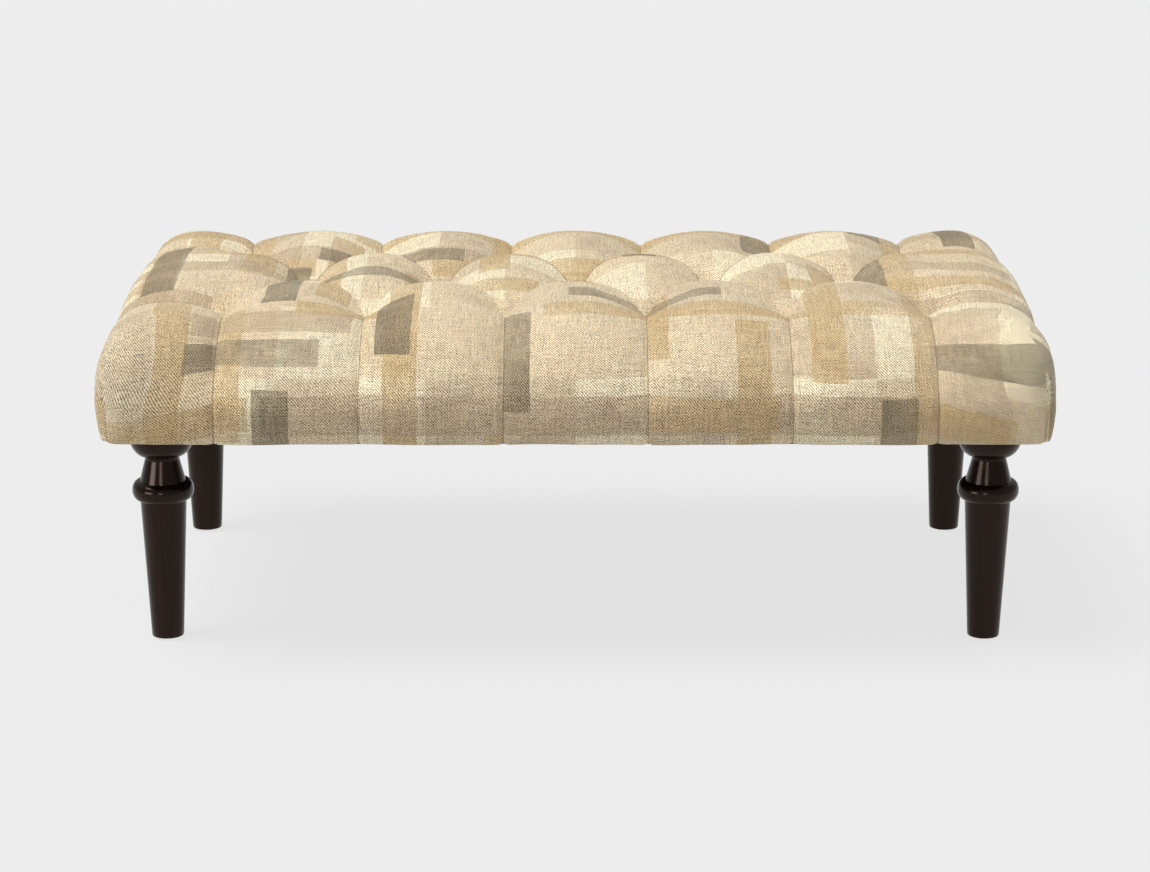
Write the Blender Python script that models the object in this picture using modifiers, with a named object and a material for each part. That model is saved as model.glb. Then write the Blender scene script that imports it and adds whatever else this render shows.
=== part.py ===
"""Tufted footstool: a padded bench seat with blind tufts on four turned legs.

Metres, +Z up.  The origin is on the floor under the middle of the seat.
+X runs along the length of the seat, and the front faces -Y.
"""
import math

import bmesh
import bpy
from mathutils import Matrix, Vector

# Seat, over the outside of its cover
SEAT_LENGTH = 1.220
SEAT_DEPTH = 0.734
SEAT_HEIGHT = 0.448
SEAT_THICKNESS = 0.155
CORNER_RADIUS = 0.034
WIDEST_ABOVE_UNDERSIDE = 0.049
FRONT_TUCK = 0.015
END_TUCK = 0.004
PANEL_BULGE = 0.006

# Tufts: an outer row along the front and the rear, and a middle row of one fewer between them
OUTER_ROW_TUFTS = 6
TUFT_END_MARGIN = 0.1535
TUFT_FRONT_MARGIN = 0.202
TUFT_SINK = 0.014
TUFT_REACH = 0.032
PLEAT_SINK = 0.0185
PLEAT_RUN = 0.055
END_PLEAT_SINK = 0.009
MIDDLE_ROW_SINK = 0.007
FRONT_PLEAT_FULLNESS = 1.45
FRONT_PILLOW_FULLNESS = 2.15
END_FULLNESS = 5.0
SIDE_FULLNESS = 3.4
CORNER_PILLOW_RISE = 1.5
CORNER_ENDNESS = 0.75

# Layers of the upholstery
COVER_THICKNESS = 0.0012
WADDING_THICKNESS = 0.008
HEM_ON_RAIL = 0.012
DUST_COVER_THICKNESS = 0.0008
DUST_COVER_INSET = 0.025
DUST_COVER_CORNER = 0.030

# Timber frame and deck
END_PADDING = 0.038
FRONT_PADDING = 0.050
RAIL_THICKNESS = 0.018
RAIL_HEIGHT = 0.054
RAIL_CORNER_RADIUS = 0.016
CROSS_RAIL_THICKNESS = 0.018
CROSS_RAIL_HEIGHT = 0.042
CROSS_RAIL_HOUSING = 0.008
CROSS_RAIL_PITCHES = 1.25
DECK_THICKNESS = 0.012
DECK_EDGE_ROUND = 0.004
LEG_BLOCK_HEIGHT = 0.040
LEG_BLOCK_MARGIN = 0.052
DOWEL_DIAMETER = 0.008
DOWEL_LENGTH = 0.032
DOWEL_SPACING = 0.026

# Tuft ties
TIE_TWINE_DIAMETER = 0.0025
TIE_KNOT_DIAMETER = 0.005
TIE_KNOT_HEIGHT = 0.004
TIE_WASHER_DIAMETER = 0.018
TIE_WASHER_THICKNESS = 0.002
TUFT_BORE_DIAMETER = 0.008
WADDING_SLIT = 0.006

# Turned legs, from the top down
LEG_END_INSET = 0.073
LEG_FRONT_INSET = 0.126
LEG_CAP_DIAMETER = 0.085
LEG_CAP_HEIGHT = 0.0126
LEG_CAP_EDGE = 0.002
LEG_BOWL_HEIGHT = 0.0303
LEG_NECK_DIAMETER = 0.0430
LEG_NECK_HEIGHT = 0.0015
LEG_CONE_DIAMETER = 0.0576
LEG_CONE_HEIGHT = 0.0317
LEG_RING_DIAMETER = 0.080
LEG_RING_HEIGHT = 0.0252
LEG_SHAFT_DIAMETER = 0.0598
LEG_FOOT_DIAMETER = 0.042
LEG_FOOT_ROUND = 0.0015

# Leg fixings
BOLT_DIAMETER = 0.008
BOLT_POINT_LENGTH = 0.006
BOLT_IN_LEG = 0.038
BOLT_PAST_NUT = 0.004
NUT_BARREL_DIAMETER = 0.0105
NUT_BARREL_LENGTH = 0.012
NUT_FLANGE_DIAMETER = 0.021
NUT_FLANGE_THICKNESS = 0.0016
GLIDE_DIAMETER = 0.020
GLIDE_THICKNESS = 0.003
GLIDE_NAIL_DIAMETER = 0.0025
GLIDE_NAIL_LENGTH = 0.014

# Clearance between pieces that touch, and between the soft layers
GAP = 0.0003
SOFT_GAP = 0.0005

# Steps of the cover's grid: in a tuft pitch, a row, a pleat's run, the shoulder and the side
STEPS_PER_PITCH = 4
STEPS_PER_ROW = 2
RUN_STEPS = 1
SHOULDER_STEPS = 4
SIDE_STEPS = 2
WADDING_SIDE_STEPS = 1

# Facets of the round pieces
LEG_FACETS = 20
BOWL_ARC_STEPS = 5
RING_ARC_STEPS = 7
PIN_FACETS = 10
TIE_FACETS = 6
BORE_FACETS = 8
CORNER_SEGMENTS = 3

# Worked out from the sizes above
HALF_LENGTH = SEAT_LENGTH / 2
HALF_DEPTH = SEAT_DEPTH / 2
SEAT_UNDERSIDE = SEAT_HEIGHT - SEAT_THICKNESS
TUFT_SPAN = HALF_LENGTH - TUFT_END_MARGIN
TUFT_ROW = HALF_DEPTH - TUFT_FRONT_MARGIN
TUFT_PITCH = 2 * TUFT_SPAN / (OUTER_ROW_TUFTS - 1)
WIDEST_Z = SEAT_UNDERSIDE + WIDEST_ABOVE_UNDERSIDE
FRAME_HALF_LENGTH = HALF_LENGTH - END_PADDING
FRAME_HALF_DEPTH = HALF_DEPTH - FRONT_PADDING
RAIL_BOTTOM = SEAT_UNDERSIDE + COVER_THICKNESS + GAP
RAIL_TOP = RAIL_BOTTOM + RAIL_HEIGHT
DECK_BOTTOM = RAIL_TOP + GAP
DECK_TOP = DECK_BOTTOM + DECK_THICKNESS
DUST_COVER_TOP = SEAT_UNDERSIDE - GAP
DUST_COVER_BOTTOM = DUST_COVER_TOP - DUST_COVER_THICKNESS
LEG_TOP = DUST_COVER_BOTTOM - GAP
LEG_BOTTOM = GLIDE_THICKNESS + GAP
LEG_X = HALF_LENGTH - LEG_END_INSET
LEG_Y = HALF_DEPTH - LEG_FRONT_INSET
BLOCK_TOP = SEAT_UNDERSIDE + LEG_BLOCK_HEIGHT
SIDES = {"front": -1, "rear": 1}
ENDS = {"left": -1, "right": 1}

for old in list(bpy.data.objects):
    bpy.data.objects.remove(old, do_unlink=True)

pieces = bpy.data.collections.new("tufted_footstool")
cutters = bpy.data.collections.new("cutters")
bpy.context.scene.collection.children.link(pieces)
bpy.context.scene.collection.children.link(cutters)

stand = bpy.data.objects.new("floor_centre", None)
pieces.objects.link(stand)


def finish(name, colour, roughness, metallic=0.0):
    """A plain surface finish."""
    material = bpy.data.materials.new(name)
    material.use_nodes = True
    shader = material.node_tree.nodes["Principled BSDF"]
    shader.inputs["Base Color"].default_value = (*colour, 1.0)
    shader.inputs["Roughness"].default_value = roughness
    shader.inputs["Metallic"].default_value = metallic
    return material


PRINTED_LINEN = finish("printed_linen", (0.56, 0.46, 0.35), 0.95)
WADDING_WHITE = finish("polyester_wadding", (0.86, 0.86, 0.84), 1.0)
FOAM_CREAM = finish("cushion_foam", (0.82, 0.75, 0.52), 0.95)
DUST_BLACK = finish("black_non_woven", (0.02, 0.02, 0.022), 0.95)
PINE = finish("pine_rail", (0.66, 0.47, 0.28), 0.6)
PLYWOOD = finish("deck_plywood", (0.70, 0.54, 0.36), 0.6)
BEECH = finish("beech_dowel", (0.72, 0.52, 0.34), 0.5)
ESPRESSO = finish("espresso_stain", (0.022, 0.014, 0.011), 0.35)
ZINC = finish("zinc_plated_steel", (0.62, 0.62, 0.60), 0.35, 1.0)
NYLON = finish("glide_nylon", (0.10, 0.08, 0.07), 0.5)
TWINE = finish("waxed_twine", (0.74, 0.68, 0.55), 0.85)


def piece(name, mesh, material, location=(0.0, 0.0, 0.0)):
    """A named sub-part standing on the floor centre."""
    obj = bpy.data.objects.new(name, mesh)
    obj.location = location
    obj.parent = stand
    pieces.objects.link(obj)
    if not mesh.materials:
        mesh.materials.append(material)
    return obj


def mesh_from(name, bm):
    """A new mesh that takes over what the edit mesh holds."""
    mesh = bpy.data.meshes.new(name)
    bm.to_mesh(mesh)
    bm.free()
    return mesh


def block_mesh(name, size, round_edges=None, radius=0.0):
    """A rectangular block about its own centre, with the edges that round_edges picks rounded."""
    bm = bmesh.new()
    bmesh.ops.create_cube(bm, size=1.0, matrix=Matrix.Diagonal((*size, 1.0)))
    if round_edges:
        chosen = [edge for edge in bm.edges if round_edges(edge)]
        bmesh.ops.bevel(bm, geom=chosen, offset=radius, offset_type="OFFSET",
                        segments=CORNER_SEGMENTS, profile=0.5, affect="EDGES")
    return mesh_from(name, bm)


def is_upright(edge):
    """True for an edge that runs along Z."""
    along = edge.verts[1].co - edge.verts[0].co
    return abs(along.z) > abs(along.x) + abs(along.y)


def cutter(name, bm):
    """A hidden tool that only cuts other pieces."""
    tool = bpy.data.objects.new(name, mesh_from(name, bm))
    tool.hide_render = True
    tool.display_type = "WIRE"
    cutters.objects.link(tool)
    return tool


def cut(obj, tool):
    """Take the tool's shape out of a piece."""
    modifier = obj.modifiers.new(tool.name, "BOOLEAN")
    modifier.operation = "DIFFERENCE"
    modifier.solver = "EXACT"
    modifier.object = tool


def add_rod(bm, diameter, length, centre, along="Z", facets=BORE_FACETS):
    """A closed round rod in the edit mesh."""
    turn = Matrix.Rotation(math.pi / 2, 4, "X") if along == "Y" else Matrix.Identity(4)
    bmesh.ops.create_cone(bm, cap_ends=True, cap_tris=False, segments=facets, radius1=diameter / 2,
                          radius2=diameter / 2, depth=length, matrix=Matrix.Translation(centre) @ turn)


def turned_mesh(name, profile):
    """A profile of (radius, height) points for turning about Z."""
    bm = bmesh.new()
    row = [bm.verts.new((radius, 0.0, height)) for radius, height in profile]
    for upper, lower in zip(row, row[1:]):
        bm.edges.new((upper, lower))
    return mesh_from(name, bm)


def turned_piece(name, profile_mesh, material, location, facets):
    """A piece turned about its own upright axis."""
    obj = piece(name, profile_mesh, material, location)
    screw = obj.modifiers.new("turning", "SCREW")
    screw.axis = "Z"
    screw.angle = 2 * math.pi
    screw.steps = facets
    screw.render_steps = facets
    screw.use_merge_vertices = True
    screw.merge_threshold = 0.0001
    screw.use_smooth_shade = True
    return obj


def tuft_places():
    """Name and plan position of every tuft, row by row from the front."""
    rows = (("front", -TUFT_ROW, OUTER_ROW_TUFTS), ("middle", 0.0, OUTER_ROW_TUFTS - 1),
            ("rear", TUFT_ROW, OUTER_ROW_TUFTS))
    for row, y, count in rows:
        for number in range(count):
            x = (number - (count - 1) / 2) * TUFT_PITCH
            yield f"{row}_{number + 1}", x, y


def pillow(t):
    """Height of a stuffed pillow across its width: 0 at a pleat, 1 in the middle, repeating in t."""
    across = t - math.floor(t)
    return 4 * across * (1 - across)


def stuffed_edge(share, fullness):
    """Reach and rise of a stuffed edge, 0 to 1, at a share of its quarter turn."""
    angle = math.pi / 2 * share
    return math.sin(angle) ** (2 / fullness), max(math.cos(angle), 0.0) ** (2 / fullness)


def ring(step, on_pillow, endness):
    """One ring of the cover past the tuft lines: its reach along X and Y, height and corner radius.

    The rings run over the shoulder, down the side and, last, to the hem, which is folded square.
    The shoulder is softer along the front and rear, and fuller towards the ends.  Along the front
    and rear a pleat first runs level from its tuft, and then over the edge.
    """
    bulge = PANEL_BULGE if on_pillow else 0.0
    reach_x = TUFT_END_MARGIN - PANEL_BULGE
    reach_y = TUFT_FRONT_MARGIN - PANEL_BULGE
    if step <= SHOULDER_STEPS:
        if on_pillow:
            top = end_top = SEAT_HEIGHT
            front_out, front_up = stuffed_edge(step / SHOULDER_STEPS, FRONT_PILLOW_FULLNESS)
        else:
            top = SEAT_HEIGHT - PLEAT_SINK
            end_top = top + (PLEAT_SINK - END_PLEAT_SINK) * min(step / RUN_STEPS, 1.0)
            run = PLEAT_RUN / reach_y
            over = max(step - RUN_STEPS, 0) / (SHOULDER_STEPS - RUN_STEPS)
            front_out, front_up = stuffed_edge(over, FRONT_PLEAT_FULLNESS)
            front_out = run * min(step / RUN_STEPS, 1.0) + (1 - run) * front_out
        end_out, end_up = stuffed_edge(step / SHOULDER_STEPS, END_FULLNESS)
        out = front_out + (end_out - front_out) * endness
        front_z = WIDEST_Z + (top - WIDEST_Z) * front_up
        end_z = WIDEST_Z + (end_top - WIDEST_Z) * end_up
        z = front_z + (end_z - front_z) * endness
        return (reach_x + bulge) * out, (reach_y + bulge) * out, z, CORNER_RADIUS * out
    lower = min(step - SHOULDER_STEPS, SIDE_STEPS)
    drop, kept = stuffed_edge(lower / SIDE_STEPS, SIDE_FULLNESS)
    tucked = 1 - kept
    z = WIDEST_Z - WIDEST_ABOVE_UNDERSIDE * drop
    if step > SHOULDER_STEPS + SIDE_STEPS:
        hem_x = FRAME_HALF_LENGTH - HEM_ON_RAIL
        hem_y = FRAME_HALF_DEPTH - HEM_ON_RAIL
        return hem_x - TUFT_SPAN, hem_y - TUFT_ROW, z, 0.0
    out = bulge * (1 - lower / SIDE_STEPS)
    radius = CORNER_RADIUS - tucked * (END_TUCK + FRONT_TUCK) / 2
    return reach_x + out - tucked * END_TUCK, reach_y + out - tucked * FRONT_TUCK, z, radius


def corner_walk(share, reach, across, radius):
    """A point on a ring from its pleat to the middle of its corner: along the side, then round the arc."""
    straight = reach - radius
    walked = share * (straight + radius * math.pi / 4)
    if walked <= straight or radius <= 0.0:
        return walked, across
    angle = (walked - straight) / radius
    return straight + radius * math.sin(angle), across - radius * (1 - math.cos(angle))


def cover_point(column, row, below):
    """The cover's outer surface at a grid column and row, and a number of steps down the side."""
    columns = STEPS_PER_PITCH * (OUTER_ROW_TUFTS - 1) / 2
    inner_column = max(-columns, min(columns, column))
    inner_row = max(-STEPS_PER_ROW, min(STEPS_PER_ROW, row))
    x = inner_column * TUFT_PITCH / STEPS_PER_PITCH
    y = inner_row * TUFT_ROW / STEPS_PER_ROW
    past_x = abs(column - inner_column)
    past_y = abs(row - inner_row)
    step = max(past_x, past_y) + below
    side_x = math.copysign(1.0, column)
    side_y = math.copysign(1.0, row)

    if past_x and past_y:
        share = min(past_x, past_y) / max(past_x, past_y)
        risen = min(step * CORNER_PILLOW_RISE / SHOULDER_STEPS, 1.0)
        relief = pillow(share / 2) * pillow(risen / 2)
    else:
        share = 0.0
        phase = x / TUFT_PITCH + OUTER_ROW_TUFTS / 2
        slant = y / (2 * TUFT_ROW)
        relief = (pillow(phase + slant) + pillow(phase - slant)) / 2

    levels = []
    endness = 1 - share * (1 - CORNER_ENDNESS) if past_x > past_y else share * CORNER_ENDNESS
    for on_pillow in (False, True):
        reach_x, reach_y, z, radius = ring(step, on_pillow, endness)
        if step == 0:
            if not on_pillow:
                z -= MIDDLE_ROW_SINK * (1 - (y / TUFT_ROW) ** 2)
            levels.append(Vector((x, y, z)))
        elif not past_x:
            levels.append(Vector((x, y + side_y * reach_y, z)))
        elif not past_y:
            levels.append(Vector((x + side_x * reach_x, y, z)))
        elif past_y >= past_x:
            along, across = corner_walk(share, reach_x, reach_y, radius)
            levels.append(Vector((x + side_x * along, y + side_y * across, z)))
        else:
            along, across = corner_walk(share, reach_y, reach_x, radius)
            levels.append(Vector((x + side_x * across, y + side_y * along, z)))
    point = levels[0].lerp(levels[1], relief)
    if not below:
        nearest = min(math.hypot(point.x - tuft_x, point.y - tuft_y) for _, tuft_x, tuft_y in tuft_places())
        point.z -= TUFT_SINK * math.exp(-(nearest / TUFT_REACH) ** 2)
    return point


def tufted_sheet(depth, side_steps, slit=0.0):
    """The tufted surface, sunk by depth below the outside of the cover, open underneath.

    The grid runs over the top and down the sides, and one step past the bottom edge it turns in
    under the seat.  Its cells split along the pleats.  The sunk sheet is trimmed to a number of
    steps down the sides.  A slit leaves a small opening of that reach at each tuft.
    """
    columns = STEPS_PER_PITCH * (OUTER_ROW_TUFTS - 1) // 2
    wide = columns + SHOULDER_STEPS
    deep = STEPS_PER_ROW + SHOULDER_STEPS
    bm = bmesh.new()
    bmesh.ops.create_grid(bm, x_segments=2 * wide, y_segments=2 * deep, size=1.0,
                          matrix=Matrix.Diagonal((wide, deep, 1.0, 1.0)))
    for face in list(bm.faces):
        centre = face.calc_center_median()
        if abs(centre.x) < columns:
            phase = (centre.x + columns) % STEPS_PER_PITCH
            rising = (phase < STEPS_PER_PITCH / 2) == (centre.y < 0)
        else:
            rising = centre.x * centre.y > 0
        slope = 1 if rising else -1
        order = sorted(face.verts, key=lambda vert: vert.co.x + slope * vert.co.y)
        bmesh.utils.face_split(face, order[0], order[-1])
    for _ in range(SIDE_STEPS + 1):
        rim = [edge for edge in bm.edges if edge.is_boundary]
        grown = bmesh.ops.extrude_edge_only(bm, edges=rim)["geom"]
        moved = [item for item in grown if isinstance(item, bmesh.types.BMVert)]
        bmesh.ops.translate(bm, verts=moved, vec=(0.0, 0.0, -1.0))

    tufts = []
    trimmed = []
    for vert in bm.verts:
        column, row, below = (round(value) for value in (vert.co.x, vert.co.y, -vert.co.z))
        half_pitch, odd = divmod(column + columns, STEPS_PER_PITCH // 2)
        on_row = row in (-STEPS_PER_ROW, 0, STEPS_PER_ROW) and abs(column) <= columns
        if on_row and not odd and below == 0 and (half_pitch % 2 == 1) == (row == 0):
            tufts.append(vert)
        if below > side_steps:
            trimmed.append(vert)
        vert.co = cover_point(column, row, below)
    sides = [face for face in bm.faces if len(face.verts) > 3]
    bmesh.ops.triangulate(bm, faces=sides, quad_method="SHORT_EDGE")
    bmesh.ops.recalc_face_normals(bm, faces=bm.faces)
    bm.normal_update()
    sunk = [vert.co - vert.normal * vert.calc_shell_factor() * depth for vert in bm.verts]
    for vert, place in zip(bm.verts, sunk):
        vert.co = place
    bmesh.ops.delete(bm, geom=trimmed, context="VERTS")
    if slit:
        opened = bmesh.ops.bevel(bm, geom=tufts, offset=slit, offset_type="OFFSET", segments=1,
                                 profile=0.5, affect="VERTICES")["faces"]
        bmesh.ops.delete(bm, geom=opened, context="FACES")
    return bm


def rims(bm):
    """The open rims of a sheet, each a list of its edges, in the order of their first edges."""
    loose = {edge for edge in bm.edges if edge.is_boundary}
    loops = []
    for first in [edge for edge in bm.edges if edge.is_boundary]:
        if first not in loose:
            continue
        loose.remove(first)
        loop = [first]
        for edge in loop:
            for vert in edge.verts:
                joined = [other for other in vert.link_edges if other in loose]
                loose.difference_update(joined)
                loop += joined
        loops.append(loop)
    return loops


def cover_layer(name, material, depth, thickness, side_steps, slit=0.0):
    """A soft layer between two depths of the tufted surface, its two faces joined round their rims."""
    bm = tufted_sheet(depth, side_steps, slit)
    back = mesh_from(f"{name}_back", tufted_sheet(depth + thickness, side_steps, slit))
    front_faces = len(bm.faces)
    bm.from_mesh(back)
    bpy.data.meshes.remove(back)
    bm.faces.ensure_lookup_table()
    bmesh.ops.reverse_faces(bm, faces=bm.faces[front_faces:])
    loops = rims(bm)
    for front_rim, back_rim in zip(loops[:len(loops) // 2], loops[len(loops) // 2:]):
        bmesh.ops.bridge_loops(bm, edges=front_rim + back_rim)
    bmesh.ops.recalc_face_normals(bm, faces=bm.faces)
    return piece(name, mesh_from(name, bm), material)


# Shared cutters: the tuft bores, the frame under the foam, the dowel bores, housings and bolt bores
tools = bmesh.new()
for _, tuft_x, tuft_y in tuft_places():
    bore_middle = (tuft_x, tuft_y, (SEAT_UNDERSIDE + SEAT_HEIGHT) / 2)
    add_rod(tools, TUFT_BORE_DIAMETER, SEAT_HEIGHT - SEAT_UNDERSIDE, bore_middle)
tuft_bores = cutter("tuft_bores", tools)

tools = bmesh.new()
core_top = DECK_TOP + GAP
core_size = (2 * (FRAME_HALF_LENGTH + GAP), 2 * (FRAME_HALF_DEPTH + GAP), core_top - SEAT_UNDERSIDE)
core_place = Matrix.Translation((0.0, 0.0, (core_top + SEAT_UNDERSIDE) / 2))
bmesh.ops.create_cube(tools, size=1.0, matrix=core_place @ Matrix.Diagonal((*core_size, 1.0)))
frame_core = cutter("frame_core", tools)

dowel_places = {}
tools = bmesh.new()
for side, side_sign in SIDES.items():
    for end, end_sign in ENDS.items():
        for level, level_sign in {"lower": -1, "upper": 1}.items():
            middle = Vector((
                end_sign * (FRAME_HALF_LENGTH - RAIL_THICKNESS / 2),
                side_sign * (FRAME_HALF_DEPTH - (RAIL_THICKNESS + DOWEL_LENGTH) / 2),
                (RAIL_BOTTOM + RAIL_TOP) / 2 + level_sign * DOWEL_SPACING / 2,
            ))
            dowel_places[f"{side}_{end}_{level}_dowel"] = middle
            add_rod(tools, DOWEL_DIAMETER + 2 * GAP, DOWEL_LENGTH + 2 * GAP, middle, "Y")
dowel_bores = cutter("dowel_bores", tools)

cross_rail_size = (
    CROSS_RAIL_THICKNESS,
    2 * (FRAME_HALF_DEPTH - RAIL_THICKNESS + CROSS_RAIL_HOUSING),
    CROSS_RAIL_HEIGHT,
)
cross_rail_middle = RAIL_TOP - CROSS_RAIL_HEIGHT / 2
tools = bmesh.new()
for end_sign in ENDS.values():
    housing = Matrix.Translation((end_sign * CROSS_RAIL_PITCHES * TUFT_PITCH, 0.0, cross_rail_middle))
    housing_size = [length + 2 * GAP for length in cross_rail_size]
    bmesh.ops.create_cube(tools, size=1.0, matrix=housing @ Matrix.Diagonal((*housing_size, 1.0)))
housings = cutter("cross_rail_housings", tools)

tools = bmesh.new()
for side_sign in SIDES.values():
    for end_sign in ENDS.values():
        bore_middle = (end_sign * LEG_X, side_sign * LEG_Y, (DUST_COVER_BOTTOM + BLOCK_TOP) / 2)
        add_rod(tools, NUT_BARREL_DIAMETER + 2 * GAP, BLOCK_TOP - DUST_COVER_BOTTOM + 4 * GAP,
                bore_middle, facets=PIN_FACETS)
bolt_bores = cutter("bolt_bores", tools)

# Timber frame: long rails with rounded outer corners, end rails doweled between them
rail_middle = (RAIL_BOTTOM + RAIL_TOP) / 2
for side, side_sign in SIDES.items():
    rail = piece(
        f"{side}_rail",
        block_mesh(f"{side}_rail", (2 * FRAME_HALF_LENGTH, RAIL_THICKNESS, RAIL_HEIGHT),
                   lambda edge: is_upright(edge) and edge.verts[0].co.y * side_sign > 0,
                   RAIL_CORNER_RADIUS),
        PINE,
        (0.0, side_sign * (FRAME_HALF_DEPTH - RAIL_THICKNESS / 2), rail_middle),
    )
    cut(rail, dowel_bores)
    cut(rail, housings)

end_rail_length = 2 * (FRAME_HALF_DEPTH - RAIL_THICKNESS - GAP)
for end, end_sign in ENDS.items():
    rail = piece(
        f"{end}_end_rail",
        block_mesh(f"{end}_end_rail", (RAIL_THICKNESS, end_rail_length, RAIL_HEIGHT)),
        PINE,
        (end_sign * (FRAME_HALF_LENGTH - RAIL_THICKNESS / 2), 0.0, rail_middle),
    )
    cut(rail, dowel_bores)
    piece(
        f"{end}_cross_rail",
        block_mesh(f"{end}_cross_rail", cross_rail_size),
        PINE,
        (end_sign * CROSS_RAIL_PITCHES * TUFT_PITCH, 0.0, cross_rail_middle),
    )

# Dowels: half the rail's thickness goes into the long rail, the rest into the end rail
for dowel_name, middle in dowel_places.items():
    dowel = bmesh.new()
    add_rod(dowel, DOWEL_DIAMETER, DOWEL_LENGTH, (0.0, 0.0, 0.0), "Y")
    piece(dowel_name, mesh_from(dowel_name, dowel), BEECH, middle)

# Leg blocks: they fill the frame's corners and reach past the leg's axis
for side, side_sign in SIDES.items():
    for end, end_sign in ENDS.items():
        outer_x = FRAME_HALF_LENGTH - RAIL_THICKNESS - GAP
        outer_y = FRAME_HALF_DEPTH - RAIL_THICKNESS - GAP
        inner_x = LEG_X - LEG_BLOCK_MARGIN
        inner_y = LEG_Y - LEG_BLOCK_MARGIN
        leg_block = piece(
            f"{side}_{end}_leg_block",
            block_mesh(f"{side}_{end}_leg_block", (outer_x - inner_x, outer_y - inner_y, LEG_BLOCK_HEIGHT)),
            PINE,
            (end_sign * (outer_x + inner_x) / 2, side_sign * (outer_y + inner_y) / 2,
             SEAT_UNDERSIDE + LEG_BLOCK_HEIGHT / 2),
        )
        cut(leg_block, bolt_bores)

# Deck panel: plywood over the rails, its edge eased and a bore at each tuft
deck = piece(
    "deck_panel",
    block_mesh("deck_panel", (2 * FRAME_HALF_LENGTH, 2 * FRAME_HALF_DEPTH, DECK_THICKNESS),
               is_upright, RAIL_CORNER_RADIUS),
    PLYWOOD,
    (0.0, 0.0, DECK_BOTTOM + DECK_THICKNESS / 2),
)
edge_round = deck.modifiers.new("eased_edge", "BEVEL")
edge_round.width = DECK_EDGE_ROUND
edge_round.segments = 1
edge_round.limit_method = "ANGLE"
edge_round.angle_limit = math.radians(60)
cut(deck, tuft_bores)

# Foam pad: follows the tufted surface and sits over the deck and down the outside of the rails
foam_depth = COVER_THICKNESS + WADDING_THICKNESS + 2 * SOFT_GAP
foam = tufted_sheet(foam_depth, SIDE_STEPS)
foam_rim = [edge for edge in foam.edges if edge.is_boundary]
foam_rim_verts = {vert for edge in foam_rim for vert in edge.verts}
foam_bottom = sum(vert.co.z for vert in foam_rim_verts) / len(foam_rim_verts)
for vert in foam_rim_verts:
    vert.co.z = foam_bottom
bmesh.ops.contextual_create(foam, geom=foam_rim)
bmesh.ops.recalc_face_normals(foam, faces=foam.faces)
foam_pad = piece("foam_pad", mesh_from("foam_pad", foam), FOAM_CREAM)
cut(foam_pad, frame_core)
cut(foam_pad, tuft_bores)

# Wadding and the fitted cover, which turns in under the seat
cover_layer("wadding", WADDING_WHITE, COVER_THICKNESS + SOFT_GAP, WADDING_THICKNESS,
            WADDING_SIDE_STEPS, WADDING_SLIT)
cover_layer("seat_cover", PRINTED_LINEN, 0.0, COVER_THICKNESS, SIDE_STEPS + 1)

# Tuft ties: a knot sewn to the back of the cover, twine, and a washer drawn up under the deck
washer_top = DECK_BOTTOM - GAP
knot_radius = TIE_KNOT_DIAMETER / 2
twine_radius = TIE_TWINE_DIAMETER / 2
washer_radius = TIE_WASHER_DIAMETER / 2
tie_meshes = {}
for tuft_name, tuft_x, tuft_y in tuft_places():
    row_name = tuft_name.rsplit("_", 1)[0]
    if row_name not in tie_meshes:
        row_sink = PLEAT_SINK + TUFT_SINK + (MIDDLE_ROW_SINK if row_name == "middle" else 0.0)
        knot_top = SEAT_HEIGHT - row_sink - 2 * COVER_THICKNESS
        washer_bottom = washer_top - TIE_WASHER_THICKNESS
        tie_meshes[row_name] = turned_mesh(f"{row_name}_tie", (
            (0.0, knot_top),
            (knot_radius, knot_top - TIE_KNOT_HEIGHT / 2),
            (twine_radius, knot_top - TIE_KNOT_HEIGHT),
            (twine_radius, washer_top),
            (washer_radius, washer_top),
            (washer_radius, washer_bottom),
            (knot_radius, washer_bottom),
            (0.0, washer_bottom - TIE_KNOT_HEIGHT),
        ))
    turned_piece(f"tuft_tie_{tuft_name}", tie_meshes[row_name], TWINE, (tuft_x, tuft_y, 0.0), TIE_FACETS)

# Dust cover: a thin sheet under the frame, pierced for the leg bolts
dust_half_length = HALF_LENGTH - DUST_COVER_INSET
dust_half_depth = HALF_DEPTH - DUST_COVER_INSET
dust_cover = piece(
    "dust_cover",
    block_mesh("dust_cover", (2 * dust_half_length, 2 * dust_half_depth, DUST_COVER_THICKNESS),
               is_upright, DUST_COVER_CORNER),
    DUST_BLACK,
    (0.0, 0.0, DUST_COVER_BOTTOM + DUST_COVER_THICKNESS / 2),
)
cut(dust_cover, bolt_bores)


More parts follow.
